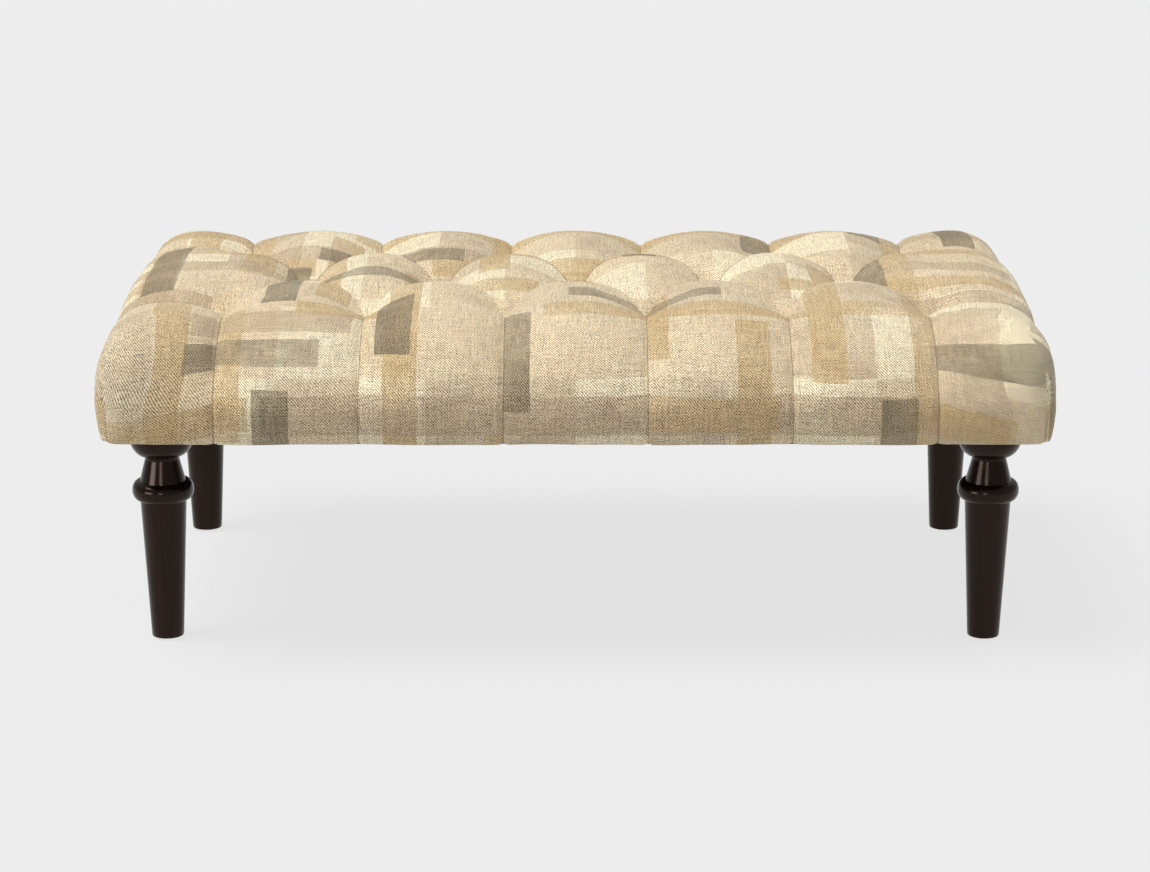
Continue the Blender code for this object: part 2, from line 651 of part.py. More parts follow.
def leg_profile():
    """Half the leg's outline, from the bolt bore over the cap and down to the nail hole."""
    bore = BOLT_DIAMETER / 2 + GAP
    cap = LEG_CAP_DIAMETER / 2
    neck = LEG_NECK_DIAMETER / 2
    cone = LEG_CONE_DIAMETER / 2
    shaft = LEG_SHAFT_DIAMETER / 2
    foot = LEG_FOOT_DIAMETER / 2
    nail = GLIDE_NAIL_DIAMETER / 2 + GAP
    bowl_rim = LEG_TOP - LEG_CAP_HEIGHT
    bowl_floor = bowl_rim - LEG_BOWL_HEIGHT
    ring_top = bowl_floor - LEG_NECK_HEIGHT - LEG_CONE_HEIGHT
    ring_middle = ring_top - LEG_RING_HEIGHT / 2
    bore_floor = LEG_TOP - BOLT_IN_LEG - GAP
    nail_top = LEG_BOTTOM + GLIDE_NAIL_LENGTH + GAP

    points = [(0.0, bore_floor), (bore, bore_floor), (bore, LEG_TOP)]
    points += [(cap - LEG_CAP_EDGE, LEG_TOP), (cap, LEG_TOP - LEG_CAP_EDGE)]
    for step in range(BOWL_ARC_STEPS + 1):
        angle = math.pi / 2 * step / BOWL_ARC_STEPS
        points.append((neck + (cap - neck) * math.cos(angle), bowl_rim - LEG_BOWL_HEIGHT * math.sin(angle)))
    points.append((neck, bowl_floor - LEG_NECK_HEIGHT))
    ring_foot = ring_top - LEG_RING_HEIGHT
    for step in range(RING_ARC_STEPS + 1):
        angle = math.pi / 2 - math.pi * step / RING_ARC_STEPS
        seat = cone + (shaft - cone) * step / RING_ARC_STEPS
        points.append((seat + (LEG_RING_DIAMETER / 2 - seat) * math.cos(angle),
                       ring_middle + LEG_RING_HEIGHT / 2 * math.sin(angle)))
    points[-1] = (shaft, ring_foot)
    points += [(foot, LEG_BOTTOM + LEG_FOOT_ROUND), (foot - LEG_FOOT_ROUND, LEG_BOTTOM)]
    points += [(nail, LEG_BOTTOM), (nail, nail_top), (0.0, nail_top)]
    return points


# Legs with their hanger bolts, tee nuts and nail-on glides
leg_mesh = turned_mesh("leg_turning", leg_profile())

bolt_radius = BOLT_DIAMETER / 2
bolt_top = BLOCK_TOP + GAP + NUT_FLANGE_THICKNESS + BOLT_PAST_NUT
bolt_bottom = LEG_TOP - BOLT_IN_LEG
bolt_mesh = turned_mesh("hanger_bolt", (
    (0.0, bolt_top),
    (bolt_radius, bolt_top),
    (bolt_radius, bolt_bottom + BOLT_POINT_LENGTH),
    (0.0, bolt_bottom),
))

nut_bore = bolt_radius + GAP
nut_barrel = NUT_BARREL_DIAMETER / 2
nut_flange = NUT_FLANGE_DIAMETER / 2
nut_seat = BLOCK_TOP + GAP
nut_mesh = turned_mesh("tee_nut", (
    (nut_bore, nut_seat - NUT_BARREL_LENGTH),
    (nut_bore, nut_seat + NUT_FLANGE_THICKNESS),
    (nut_flange, nut_seat + NUT_FLANGE_THICKNESS),
    (nut_flange, nut_seat),
    (nut_barrel, nut_seat),
    (nut_barrel, nut_seat - NUT_BARREL_LENGTH),
    (nut_bore, nut_seat - NUT_BARREL_LENGTH),
))

glide_nail = GLIDE_NAIL_DIAMETER / 2
glide_edge = GLIDE_DIAMETER / 2
glide_mesh = turned_mesh("glide", (
    (0.0, LEG_BOTTOM + GLIDE_NAIL_LENGTH),
    (glide_nail, LEG_BOTTOM + GLIDE_NAIL_LENGTH - GLIDE_NAIL_DIAMETER),
    (glide_nail, GLIDE_THICKNESS),
    (glide_edge, GLIDE_THICKNESS),
    (glide_edge, GLIDE_THICKNESS / 2),
    (glide_edge - GLIDE_THICKNESS / 2, 0.0),
    (0.0, 0.0),
))

for side, side_sign in SIDES.items():
    for end, end_sign in ENDS.items():
        leg_place = (end_sign * LEG_X, side_sign * LEG_Y, 0.0)
        turned_piece(f"{side}_{end}_leg", leg_mesh, ESPRESSO, leg_place, LEG_FACETS)
        turned_piece(f"{side}_{end}_hanger_bolt", bolt_mesh, ZINC, leg_place, PIN_FACETS)
        turned_piece(f"{side}_{end}_tee_nut", nut_mesh, ZINC, leg_place, PIN_FACETS)
        turned_piece(f"{side}_{end}_glide", glide_mesh, NYLON, leg_place, PIN_FACETS)
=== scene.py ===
import math

import bmesh
import bpy
import numpy as np
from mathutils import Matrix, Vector


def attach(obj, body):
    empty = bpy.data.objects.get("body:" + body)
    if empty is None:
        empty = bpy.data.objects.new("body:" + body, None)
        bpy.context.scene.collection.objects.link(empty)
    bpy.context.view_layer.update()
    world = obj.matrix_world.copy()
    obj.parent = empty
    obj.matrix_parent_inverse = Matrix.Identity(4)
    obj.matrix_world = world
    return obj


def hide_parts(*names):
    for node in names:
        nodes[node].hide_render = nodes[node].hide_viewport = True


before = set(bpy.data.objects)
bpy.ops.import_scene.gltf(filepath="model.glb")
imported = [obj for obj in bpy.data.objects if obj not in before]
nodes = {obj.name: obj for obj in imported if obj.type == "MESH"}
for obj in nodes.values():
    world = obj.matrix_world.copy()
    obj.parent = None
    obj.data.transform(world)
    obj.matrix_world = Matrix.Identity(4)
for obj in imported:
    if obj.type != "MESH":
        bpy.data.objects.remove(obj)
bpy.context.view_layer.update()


# Timber frame: planed softwood rails, cross rails and corner blocks.
# The rails are doweled and glued at the corners, and the cross rails sit in housings under the deck.
# All of it is closed in by the cover and the dust cover.
class Shade:
    """A value in a finish: sums on it add maths nodes, and make adds any other node."""

    def __init__(self, tree, socket=None):
        self.tree = tree
        self.socket = socket

    def make(self, kind, settings=None, sockets=None, out=0):
        node = self.tree.nodes.new("ShaderNode" + kind)
        for name, value in (settings or {}).items():
            setattr(node, name, value)
        for name, value in (sockets or {}).items():
            if isinstance(value, Shade):
                self.tree.links.new(value.socket, node.inputs[name])
            else:
                node.inputs[name].default_value = value
        return Shade(self.tree, node.outputs[out])

    def maths(self, operation, *values):
        return self.make("Math", {"operation": operation}, dict(enumerate(values)))

    def __add__(self, other):
        return self.maths("ADD", self, other)

    def __sub__(self, other):
        return self.maths("SUBTRACT", self, other)

    def __rsub__(self, other):
        return self.maths("SUBTRACT", other, self)

    def __mul__(self, other):
        return self.maths("MULTIPLY", self, other)

    def __gt__(self, other):
        return self.maths("GREATER_THAN", self, other)

    def __lt__(self, other):
        return self.maths("LESS_THAN", self, other)

    __radd__ = __add__
    __rmul__ = __mul__

    def floor(self):
        return self.maths("FLOOR", self)

    def sine(self):
        return self.maths("SINE", self)

    def tint(self, under, over):
        """A colour between two others, by this share of the second."""
        sockets = {0: self, 6: under, 7: over}
        return self.make("Mix", {"data_type": "RGBA", "clamp_factor": True}, sockets, out=2)

    def to(self, surface, socket):
        self.tree.links.new(self.socket, surface.inputs[socket])


def finish(name, **constants):
    """A new finish: its material, its surface and an empty value to start sums from."""
    material = bpy.data.materials.new(name)
    material.use_nodes = True
    surface = material.node_tree.nodes["Principled BSDF"]
    for socket, value in constants.items():
        surface.inputs[socket.replace("_", " ")].default_value = value
    return material, surface, Shade(material.node_tree)


def grain(shade, stretch, fineness):
    """Streaks of wood grain, long where the stretch is small."""
    place = shade.make("TexCoord", out="Object")
    turned = shade.make("Mapping", sockets={"Vector": place, "Scale": stretch})
    noise = {"Vector": turned, "Scale": fineness, "Detail": 5.0, "Roughness": 0.6, "Distortion": 0.4}
    return shade.make("TexNoise", sockets=noise)


def relief(height, strength, distance):
    """Fine relief of a surface, from a value over it."""
    return height.make("Bump", sockets={"Strength": strength, "Distance": distance, "Height": height})


def raw_timber(name, light, dark, stretch, fineness=60.0):
    """Plain planed timber with its grain along one way."""
    material, surface, shade = finish(name, Roughness=0.62)
    streaks = grain(shade, stretch, fineness)
    streaks.tint((*dark, 1), (*light, 1)).to(surface, "Base Color")
    relief(streaks, 0.15, 0.0004).to(surface, "Normal")
    return material


def dress(material, *names):
    """Give CAD nodes a better finish."""
    for name in names:
        nodes[name].data.materials.clear()
        nodes[name].data.materials.append(material)


ALONG_X = (0.06, 1.0, 1.0)
ALONG_Y = (1.0, 0.06, 1.0)
PINE_LIGHT = (0.70, 0.50, 0.29)
PINE_DARK = (0.47, 0.29, 0.14)
SIDES = {"front": -1, "rear": 1}
ENDS = {"left": -1, "right": 1}
CORNERS = [f"{side}_{end}" for side in SIDES for end in ENDS]

dress(raw_timber("pine_lengthways", PINE_LIGHT, PINE_DARK, ALONG_X), "front_rail", "rear_rail",
      *[f"{corner}_leg_block" for corner in CORNERS])
dress(raw_timber("pine_crossways", PINE_LIGHT, PINE_DARK, ALONG_Y), "left_end_rail", "right_end_rail",
      "left_cross_rail", "right_cross_rail")

# Dowels: plain beech pegs, two at each corner of the frame.
# They are glued half into the long rail and half into the end rail.
dress(raw_timber("beech_peg", (0.74, 0.55, 0.37), (0.60, 0.40, 0.24), ALONG_Y, 140.0),
      *[f"{corner}_{level}_dowel" for corner in CORNERS for level in ("lower", "upper")])

# Deck: a plywood panel screwed down over the rails.
# It carries the padding, and is bored through at each tuft for the ties.
dress(raw_timber("deck_plywood", (0.76, 0.60, 0.41), (0.60, 0.44, 0.27), ALONG_X, 34.0), "deck_panel")

# Leg fixings: zinc plated hanger bolts in the legs, and tee nuts let into the corner blocks.
# The threads turn into the nuts through the dust cover.
zinc, surface, shade = finish("zinc_plating", Metallic=1.0)
place = shade.make("TexCoord", out="Object")
spangle = shade.make("TexNoise", sockets={"Vector": place, "Scale": 420.0, "Detail": 2.0})
spangle.tint((0.50, 0.51, 0.50, 1), (0.68, 0.68, 0.65, 1)).to(surface, "Base Color")
(0.28 + spangle * 0.2).to(surface, "Roughness")
dress(zinc, *[f"{corner}_{part}" for corner in CORNERS for part in ("hanger_bolt", "tee_nut")])

# Tuft ties: waxed twine sewn through the back of the cover at each tuft.
# Each is drawn down through the foam and knotted against a washer under the deck.
twine, surface, shade = finish("waxed_twine", Roughness=0.7)
place = shade.make("TexCoord", out="Object")
strands = {"Vector": place, "Scale": 260.0, "Distortion": 1.0}
lay = shade.make("TexWave", {"bands_direction": "DIAGONAL"}, strands)
lay.tint((0.56, 0.48, 0.35, 1), (0.78, 0.72, 0.58, 1)).to(surface, "Base Color")
relief(lay, 0.5, 0.0004).to(surface, "Normal")
TIES = {"front": 6, "middle": 5, "rear": 6}
dress(twine, *[f"tuft_tie_{row}_{number + 1}" for row, count in TIES.items() for number in range(count)])

# Foam pad: one block of cream open-cell foam, drawn down into pillows by the ties.
# It lies over the deck and laps down the outside of the rails.
SEAT_TOP = 0.4465
SEAT_UNDERSIDE = 0.293
WIDEST_Z = 0.342
TUFT_SPAN = 0.4565
TUFT_ROW = 0.165
END_MARGIN = 0.1520
FRONT_MARGIN = 0.202
PLEAT_RUN = 0.055
PANEL_BULGE = 0.006
CORNER_RADIUS = 0.050
END_TUCK = 0.002
FRONT_TUCK = 0.015
PLEAT_SINK = 0.0185
END_PLEAT_SINK = 0.009
MIDDLE_ROW_SINK = 0.007
TUFT_SINK = 0.014
TUFT_REACH = 0.032
FRONT_PLEAT_FULLNESS = 1.45
FRONT_PILLOW_FULLNESS = 2.15
END_FULLNESS = 5.0
SIDE_FULLNESS = 3.4
CORNER_RISE = 1.5
CORNER_ENDNESS = 0.75
REAR_CORNER_SINK = 0.010
FRAME_HALF = (0.572, 0.317)
HEM_ON_RAIL = 0.012
PLEAT_FOLD = 0.0022
TOP_PLEAT_FOLD = 0.0018
NEAR_PLEAT_SHARE = 0.4
CORNER_FOLD = 0.0022
CORNER_FOLD_START = 0.55
CORNER_FOLD_GROWTH = 0.35
EDGE_PARTS = 4
DECK_TOP = 0.3611
CLEARANCE = 0.0003
TINY = 1e-9
SAME = 1e-6
NEAR_LINE = 0.25
TUFT_PITCH = 2 * TUFT_SPAN / 5
TUFTS = [((number - (count - 1) / 2) * TUFT_PITCH, y)
         for y, count in zip((-TUFT_ROW, 0.0, TUFT_ROW), TIES.values()) for number in range(count)]


def pillow(t):
    """Swell of a stuffed pillow across its width: 0 at a pleat, 1 in the middle, repeating in t."""
    across = t - np.floor(t)
    return 4 * across * (1 - across)


def stuffed_edge(turn, fullness):
    """Reach and rise of a stuffed edge, 0 to 1, at a share of its quarter turn."""
    sine = np.sin(turn * math.pi / 2)
    cosine = np.maximum(np.cos(turn * math.pi / 2), 0.0)
    size = (sine ** fullness + cosine ** fullness) ** (-1 / fullness)
    return size * sine, size * cosine


class TuftedGrid:
    """A grid over the tufted seat, with so many steps for half a tuft pitch, the shoulder, side and hem.

    The first of the EDGE_PARTS of the shoulder is where a pleat still runs level before it turns down.
    """

    def __init__(self, half_pitch, shoulder, side, hem, side_fullness, lower_corner):
        self.columns = 5 * half_pitch
        self.rows = half_pitch
        self.half_pitch = half_pitch
        self.shoulder = shoulder
        self.side = side
        self.hem = hem
        self.side_fullness = side_fullness
        self.lower_corner = lower_corner

    def shares(self, column, row, below):
        """Plan place on the tuft lines, and shares of the way over the shoulder, side and hem."""
        inner_column = np.clip(column, -self.columns, self.columns)
        inner_row = np.clip(row, -self.rows, self.rows)
        past_x = np.abs(column - inner_column) / self.shoulder
        past_y = np.abs(row - inner_row) / self.shoulder
        lower = np.clip(below / self.side, 0, 1)
        hem = np.clip((below - self.side) / self.hem, 0, 1)
        x = TUFT_SPAN * inner_column / self.columns
        y = TUFT_ROW * inner_row / self.rows
        return x, y, past_x, past_y, lower, hem

    def diagonals(self, x, y):
        """Places across the two sets of diagonal pleats, counted in pillows from beyond the left end."""
        phase = x / TUFT_PITCH + 3
        slant = y / (2 * TUFT_ROW)
        return phase + slant, phase - slant

    def surface(self, column, row, below):
        """Points of the cover's outer surface."""
        x, y, past_x, past_y, lower, hem = self.shares(column, row, below)
        turn = np.maximum(past_x, past_y)
        share = np.minimum(past_x, past_y) / np.maximum(turn, TINY)
        front = past_y >= past_x
        endness = np.where(front, share * CORNER_ENDNESS, 1 - share * (1 - CORNER_ENDNESS))
        rising, falling = self.diagonals(x, y)
        pillow_lift = (pillow(rising) + pillow(falling)) / 2
        corner_lift = pillow(share / 2) * pillow(np.minimum(turn * CORNER_RISE, 1) / 2)
        lift = np.where((past_x > 0) & (past_y > 0), corner_lift, pillow_lift)[..., None]
        middle = np.where(turn == 0, 1 - (y / TUFT_ROW) ** 2, 0.0)
        drop, keep = stuffed_edge(lower, self.side_fullness)
        end_out, end_up = stuffed_edge(turn, END_FULLNESS)
        pillow_out, pillow_up = stuffed_edge(turn, FRONT_PILLOW_FULLNESS)
        level = np.minimum(turn * EDGE_PARTS, 1)
        pleat_turn = np.maximum(turn * EDGE_PARTS - 1, 0) / (EDGE_PARTS - 1)
        pleat_out, pleat_up = stuffed_edge(pleat_turn, FRONT_PLEAT_FULLNESS)
        run = PLEAT_RUN / (FRONT_MARGIN - PANEL_BULGE)
        pleat_out = run * level + (1 - run) * pleat_out
        pleat_top = SEAT_TOP - PLEAT_SINK - MIDDLE_ROW_SINK * middle
        end_pleat_top = pleat_top + (PLEAT_SINK - END_PLEAT_SINK) * level
        pillow_top = SEAT_TOP - REAR_CORNER_SINK * corner_lift * ((row > self.rows) & (past_x > 0))
        square_x = FRAME_HALF[0] - TUFT_SPAN
        square_y = FRAME_HALF[1] - TUFT_ROW
        past = np.where(turn > 0, 1.0, 0.0)
        levels = []
        for bulge, top, end_top, front_out, front_up in (
            (0.0, pleat_top, end_pleat_top, pleat_out, pleat_up),
            (PANEL_BULGE, pillow_top, pillow_top, pillow_out, pillow_up),
        ):
            out = front_out + (end_out - front_out) * endness
            rise = (top - WIDEST_Z) * front_up * (1 - endness) + (end_top - WIDEST_Z) * end_up * endness
            swell = bulge * (1 - lower) - PANEL_BULGE
            reach_x = (END_MARGIN + swell) * out - END_TUCK * (1 - keep)
            reach_y = (FRONT_MARGIN + swell) * out - FRONT_TUCK * (1 - keep)
            corner = CORNER_RADIUS + (self.lower_corner - CORNER_RADIUS) * lower
            radius = corner * out - (END_TUCK + FRONT_TUCK) / 2 * (1 - keep)
            straight = np.where(front, reach_x, reach_y) - radius
            walked = share * (straight + radius * math.pi / 4)
            bend = np.maximum(walked - straight, 0) / np.maximum(radius, TINY)
            along = np.where(bend > 0, straight + radius * np.sin(bend), walked)
            across = np.where(front, reach_y, reach_x) - radius * (1 - np.cos(bend))
            z = WIDEST_Z + rise - (WIDEST_Z - SEAT_UNDERSIDE) * drop
            square_along = share * (np.where(front, square_x, square_y) - HEM_ON_RAIL)
            square_across = np.where(front, square_y, square_x) - HEM_ON_RAIL
            along = along + (square_along - along) * hem
            across = across + (square_across - across) * hem
            levels.append(np.stack((
                x + np.sign(column) * past * np.where(front, along, across),
                y + np.sign(row) * past * np.where(front, across, along),
                z,
            ), axis=-1))
        points = levels[0] * (1 - lift) + levels[1] * lift
        nearest = np.min([np.hypot(points[..., 0] - x, points[..., 1] - y) for x, y in TUFTS], axis=0)
        points[..., 2] -= TUFT_SINK * np.exp(-(nearest / TUFT_REACH) ** 2) * (lower == 0)
        return points

    def sheet(self, below_steps):
        """The flat grid: columns, rows and steps below as coordinates, split along the pleats.

        Its faces are made in a fixed order, so that the cloth pass gives the same result each run.
        """
        bm = bmesh.new()
        wide = self.columns + self.shoulder
        deep = self.rows + self.shoulder
        bmesh.ops.create_grid(bm, x_segments=2 * wide, y_segments=2 * deep, size=1.0)
        for vert in bm.verts:
            vert.co.x = round(vert.co.x * wide)
            vert.co.y = round(vert.co.y * deep)
        for face in list(bm.faces):
            centre = face.calc_center_median()
            corner = abs(centre.x) - self.columns, abs(centre.y) - self.rows
            if max(corner) < 0:
                place = (centre.x + self.columns) % (2 * self.half_pitch)
                rising = (place < self.half_pitch) == (centre.y < 0)
                height = self.rows - abs(centre.y)
                on_pleat = abs(min(place, 2 * self.half_pitch - place) - height) < NEAR_LINE
            else:
                rising = centre.x * centre.y > 0
                on_pleat = min(corner) > 0 and abs(corner[0] - corner[1]) < NEAR_LINE
            if on_pleat:
                slope = 1 if rising else -1
                order = sorted(face.verts, key=lambda vert: vert.co.x + slope * vert.co.y)
                bmesh.utils.face_split(face, order[0], order[-1])
        for _ in range(below_steps):
            rim = [edge for edge in bm.edges if edge.is_boundary]
            below = dict.fromkeys(vert for edge in rim for vert in edge.verts)
            for vert in below:
                below[vert] = bm.verts.new(vert.co - Vector((0.0, 0.0, 1.0)))
            for edge in rim:
                first, second = edge.verts
                bm.faces.new((first, second, below[second], below[first]))
        bm.verts.index_update()
        bmesh.ops.recalc_face_normals(bm, faces=bm.faces)
        if sum(face.normal.z for face in bm.faces) < 0:
            bmesh.ops.reverse_faces(bm, faces=bm.faces)
        return bm

    def lay(self, bm, depth=0.0):
        """Move the flat grid onto the tufted surface, sunk by a depth."""
        bm.verts.ensure_lookup_table()
        grid = np.array([vert.co for vert in bm.verts])
        for vert, point in zip(bm.verts, self.surface(grid[:, 0], grid[:, 1], -grid[:, 2])):
            vert.co = point
        bm.normal_update()
        folds = self.folds(grid)
        sunk = [vert.co - vert.normal * (vert.calc_shell_factor() * depth + fold)
                for vert, fold in zip(bm.verts, folds)]
        for vert, point in zip(bm.verts, sunk):
            vert.co = point
        return grid

    def on_pleats(self, grid):
        """Which points lie on a pleat, and which are held fast there: all but those between two tufts."""
        x, y, past_x, past_y, _, _ = self.shares(grid[:, 0], grid[:, 1], -grid[:, 2])
        swells = pillow(np.stack(self.diagonals(x, y)))
        inside = (past_x == 0) | (past_y == 0)
        return (swells.min(axis=0) < SAME) & inside, (swells.max(axis=0) < SAME) & inside

    def folds(self, grid):
        """How far the ties and the folds draw each point in: pleats and corner folds."""
        _, _, past_x, past_y, lower, hem = self.shares(grid[:, 0], grid[:, 1], -grid[:, 2])
        side = np.clip((past_y - past_x) * EDGE_PARTS, 0, 1)
        near = (grid[:, 1] < 0) & (past_x == 0)
        top_fold = TOP_PLEAT_FOLD * np.where(near, NEAR_PLEAT_SHARE, 1.0)
        fold = (top_fold + (PLEAT_FOLD - top_fold) * side) * self.on_pleats(grid)[0]
        corner = (past_x > 0) & (np.abs(past_x - past_y) < SAME)
        grown = np.clip((past_x + lower - CORNER_FOLD_START) / CORNER_FOLD_GROWTH, 0, 1)
        fold = fold + CORNER_FOLD * corner * grown
        return fold * (hem == 0)


def new_piece(name, bm, *materials):
    """A piece from an edit mesh, at the origin, with smooth faces."""
    mesh = bpy.data.meshes.new(name)
    bm.to_mesh(mesh)
    bm.free()
    piece = bpy.data.objects.new(name, mesh)
    bpy.context.scene.collection.objects.link(piece)
    for material in materials:
        mesh.materials.append(material)
    mesh.shade_smooth()
    return piece


def settle(piece, slot, *replaced):
    """The piece rides on the frame and stands for its CAD nodes, which are hidden; the slot is not used."""
    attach(piece, "root")
    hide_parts(*replaced)


def bore_tufts(piece, diameter):
    """Holes through a soft layer for the ties."""
    bm = bmesh.new()
    for x, y in TUFTS:
        rod = bmesh.ops.create_cone(bm, cap_ends=True, segments=16, depth=SEAT_TOP - SEAT_UNDERSIDE,
                                    radius1=diameter / 2, radius2=diameter / 2)
        bmesh.ops.translate(bm, verts=rod["verts"], vec=(x, y, (SEAT_TOP + SEAT_UNDERSIDE) / 2))
    tool = new_piece("tuft_bores", bm)
    bpy.ops.object.select_all(action="DESELECT")
    bpy.context.view_layer.objects.active = piece
    bores = piece.modifiers.new("bores", "BOOLEAN")
    bores.operation = "DIFFERENCE"
    bores.solver = "EXACT"
    bores.object = tool
    bpy.ops.object.modifier_apply(modifier=bores.name)
    bpy.data.objects.remove(tool, do_unlink=True)


COVER_THICKNESS = 0.0012
WADDING_THICKNESS = 0.008
SOFT_GAP = 0.0005
WADDING_EASE = 0.0020
FOAM_BORE = 0.008
WADDING_BORE = 0.012
WELD = 0.00002
FOAM_DEPTH = COVER_THICKNESS + WADDING_THICKNESS + 2 * SOFT_GAP

layer_grid = TuftedGrid(8, 10, 3, 1, SIDE_FULLNESS, CORNER_RADIUS)
foam, surface, shade = finish("cream_foam", Roughness=0.95)
place = shade.make("TexCoord", out="Object")
cells = shade.make("TexVoronoi", sockets={"Vector": place, "Scale": 900.0})
cells.tint((0.70, 0.62, 0.40, 1), (0.86, 0.79, 0.57, 1)).to(surface, "Base Color")
relief(cells, 0.6, 0.0006).to(surface, "Normal")

bm = layer_grid.sheet(layer_grid.side + layer_grid.hem)
grid = layer_grid.lay(bm, FOAM_DEPTH)
lowest = [vert for vert, below in zip(bm.verts, -grid[:, 2]) if below > layer_grid.side]
bmesh.ops.delete(bm, geom=lowest, context="VERTS")
rim = [edge for edge in bm.edges if edge.is_boundary]
foam_bottom = max(vert.co.z for edge in rim for vert in edge.verts)
for vert in {vert for edge in rim for vert in edge.verts}:
    vert.co.z = foam_bottom
for height in (foam_bottom, DECK_TOP + CLEARANCE):
    grown = bmesh.ops.extrude_edge_only(bm, edges=rim)["geom"]
    rim = [item for item in grown if isinstance(item, bmesh.types.BMEdge)]
    for vert in {vert for edge in rim for vert in edge.verts}:
        vert.co.x = max(-FRAME_HALF[0] - CLEARANCE, min(FRAME_HALF[0] + CLEARANCE, vert.co.x))
        vert.co.y = max(-FRAME_HALF[1] - CLEARANCE, min(FRAME_HALF[1] + CLEARANCE, vert.co.y))
        vert.co.z = height
bmesh.ops.remove_doubles(bm, verts=bm.verts, dist=WELD)
bmesh.ops.contextual_create(bm, geom=[edge for edge in bm.edges if edge.is_boundary])
bmesh.ops.recalc_face_normals(bm, faces=bm.faces)
foam_pad = new_piece("cushion_foam_pad", bm, foam)
bore_tufts(foam_pad, FOAM_BORE)
settle(foam_pad, "cushion_foam", "foam_pad")

# Wadding: a soft layer of white polyester fibre between the foam and the cover.
# It rounds off the pillows, and is slit at each tuft for the ties.
fibre, surface, shade = finish("white_wadding", Roughness=1.0)
place = shade.make("TexCoord", out="Object")
fluff = shade.make("TexNoise", sockets={"Vector": place, "Scale": 240.0, "Detail": 6.0, "Distortion": 1.5})
fluff.tint((0.78, 0.78, 0.76, 1), (0.90, 0.90, 0.89, 1)).to(surface, "Base Color")
relief(fluff, 0.5, 0.001).to(surface, "Normal")


def soft_shell(outer, inner):
    """Two sheets of one grid joined round their rims into a closed layer."""
    back = bpy.data.meshes.new("inner_sheet")
    bmesh.ops.reverse_faces(inner, faces=inner.faces)
    inner.to_mesh(back)
    inner.free()
    outer.from_mesh(back)
    bpy.data.meshes.remove(back)
    bmesh.ops.bridge_loops(outer, edges=[edge for edge in outer.edges if edge.is_boundary])
    return outer


sheets = []
for depth in (COVER_THICKNESS + WADDING_EASE, COVER_THICKNESS + SOFT_GAP + WADDING_THICKNESS):
    bm = layer_grid.sheet(layer_grid.side + layer_grid.hem)
    grid = layer_grid.lay(bm, depth)
    lowest = [vert for vert, below in zip(bm.verts, -grid[:, 2]) if below > layer_grid.side - 1]
    bmesh.ops.delete(bm, geom=lowest, context="VERTS")
    sheets.append(bm)
wadding = new_piece("fibre_wadding", soft_shell(*sheets), fibre)
bore_tufts(wadding, WADDING_BORE)
settle(wadding, "polyester_wadding", "wadding")

# Cover: one length of printed linen-look twill, drawn down at seventeen blind tufts.
# Its fullness is folded into pleats between the tufts and straight down to the bottom edge.
# It is folded at the corners, turned under and stapled to the rails.
TAKE_UP = 0.031
CORNER_DROOP = 0.19
CORNER_SAVING = 0.215
CORNER_SHIFT = (3.6, 0.8)
LOOSE_START = 0.35
MEAN_SINK = 0.02
MEAN_FRONT_FULLNESS = 1.8
TURNED_UNDER = 0.05
COVER_SIDE_FULLNESS = 4.4
LOWER_CORNER_RADIUS = 0.030
EDGE_PLEAT_CREASE = 0.9
TOP_PLEAT_CREASE = 0.45
NEAR_PLEAT_CREASE = 0.1
HEM_CREASE = 0.8
CORNER_CREASE_START = 0.75
# Painted shade in the pleats and corner folds: its share on the pleats nearest the front, and where it
# starts along the corner folds.
NEAR_PLEAT_PAINTED_SHADE = 0.86
CORNER_PAINTED_SHADE_START = 0.2
UNEVENNESS = 0.0005

cover_grid = TuftedGrid(16, 18, 7, 2, COVER_SIDE_FULLNESS, LOWER_CORNER_RADIUS)


def profile_length(margin, fullness, tuck):
    """Length of the cover from a tuft line over the shoulder, down the side and under, at even shares."""
    share = np.linspace(0, 1, 41)
    out, up = stuffed_edge(share, fullness)
    drop, keep = stuffed_edge(share, SIDE_FULLNESS)
    over = np.concatenate((margin * out, margin - tuck * (1 - keep[1:])))
    shoulder = (SEAT_TOP - MEAN_SINK - WIDEST_Z) * up
    height = np.concatenate((shoulder, -(WIDEST_Z - SEAT_UNDERSIDE) * drop[1:]))
    walked = np.concatenate(((0.0,), np.cumsum(np.hypot(np.diff(over), np.diff(height)))))
    stations = np.concatenate((share, 1 + share[1:], (3.0,)))
    return stations, np.concatenate((walked, (walked[-1] + TURNED_UNDER,)))


FRONT_LENGTH = profile_length(FRONT_MARGIN - PANEL_BULGE / 2, MEAN_FRONT_FULLNESS, FRONT_TUCK)
END_LENGTH = profile_length(END_MARGIN - PANEL_BULGE / 2, END_FULLNESS, END_TUCK)


